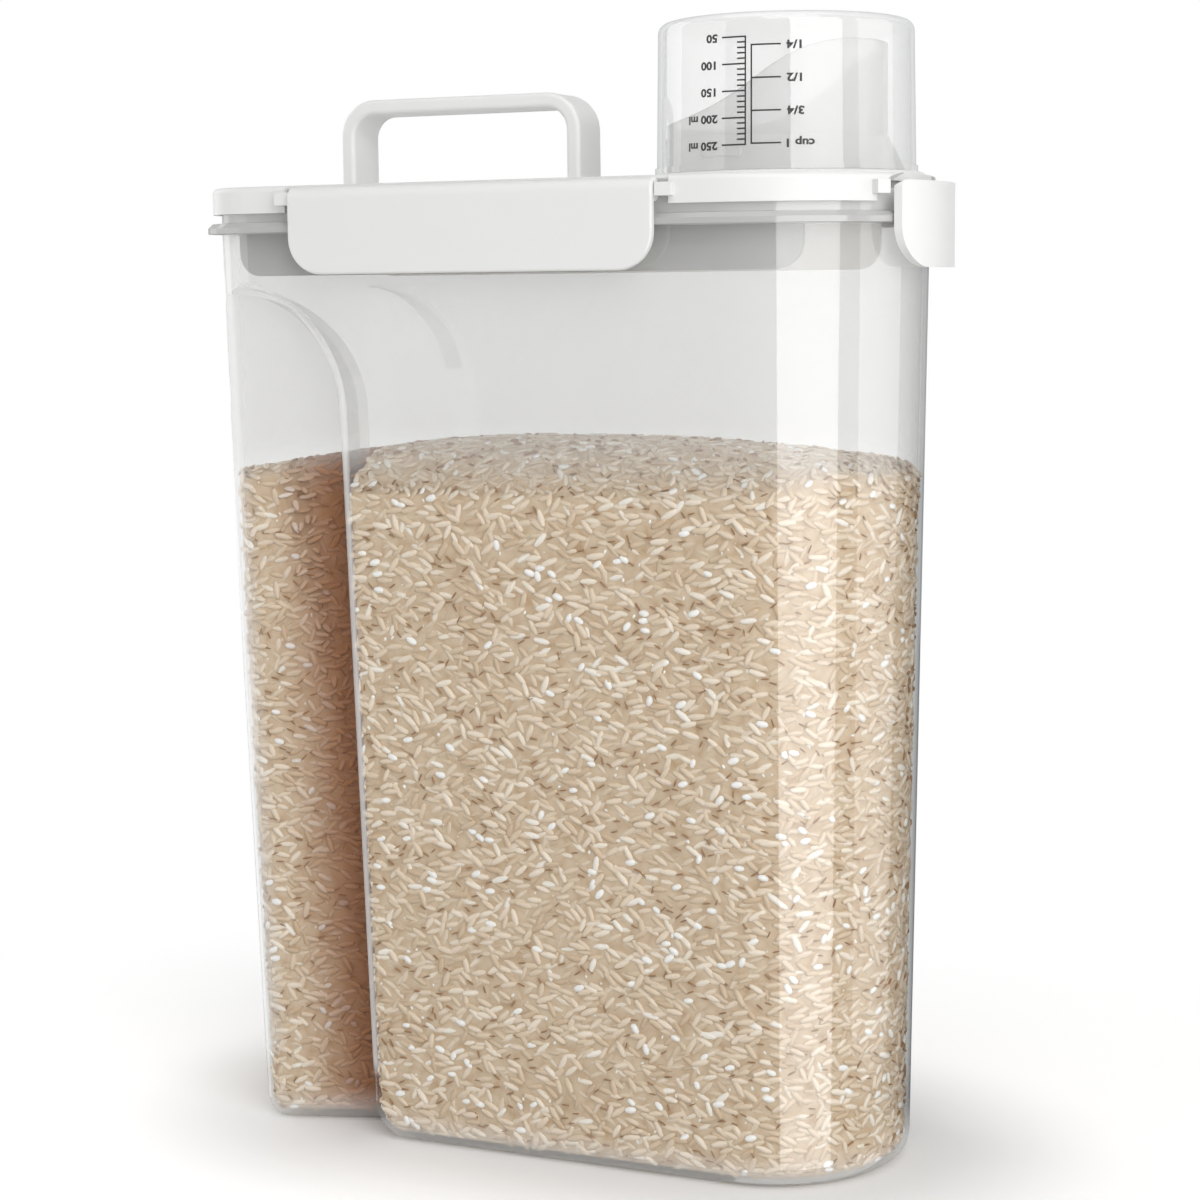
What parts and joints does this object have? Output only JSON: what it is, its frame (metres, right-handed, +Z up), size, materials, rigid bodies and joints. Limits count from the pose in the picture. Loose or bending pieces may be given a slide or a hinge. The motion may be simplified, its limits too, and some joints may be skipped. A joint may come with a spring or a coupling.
{
  "type": "rice storage container",
  "caption": "Clear tapered storage container filled with rice, with grip hollows, a latched white lid, an upright handle and an upturned measuring cup over its pouring spout.",
  "frame": {"origin": "middle of the flat base, on the table", "axes": "+Z up, +X to the pouring end with the cup, -Y the front side seen in the picture"},
  "size_m": [0.2614, 0.1258, 0.3951],
  "materials": {
    "clear_shell": "clear, glossy moulded plastic",
    "clear_cup": "clear, glossy moulded plastic",
    "milky_plastic": "milky, half clear moulded plastic",
    "white_plastic": "satin white moulded plastic",
    "grey_seal": "soft grey silicone",
    "rice": "loose polished rice grains"
  },
  "bodies": {
    "container": {"container_body": "clear_shell", "rice_fill": "rice"},
    "lid_group": {"lid": "white_plastic", "lid_gasket": "grey_seal", "carry_handle": "white_plastic", "pour_spout": "milky_plastic"},
    "front_latch_body": {"front_latch": "white_plastic"},
    "rear_latch_body": {"rear_latch": "white_plastic"},
    "spout_latch_body": {"spout_latch": "white_plastic"},
    "cup": {"measuring_cup": "clear_cup"}
  },
  "joints": [
    {"name": "lid_lift", "type": "slide", "parent": "container", "child": "lid_group", "axis": [0, 0, 1], "range_m": [0, 0.1]},
    {"name": "cup_lift", "type": "slide", "parent": "lid_group", "child": "cup", "axis": [0, 0, 1], "range_m": [0, 0.08]},
    {"name": "front_latch_swing", "type": "hinge", "parent": "lid_group", "child": "front_latch_body", "pos_m": [-0.017, -0.0589, 0.3382], "axis": [-1, 0, 0], "range_deg": [-5, 110]},
    {"name": "rear_latch_swing", "type": "hinge", "parent": "lid_group", "child": "rear_latch_body", "pos_m": [-0.017, 0.0589, 0.3382], "axis": [1, 0, 0], "range_deg": [-5, 110]},
    {"name": "spout_latch_swing", "type": "hinge", "parent": "lid_group", "child": "spout_latch_body", "pos_m": [0.1263, 0, 0.337], "axis": [0, -1, 0], "range_deg": [-5, 70]}
  ]
}
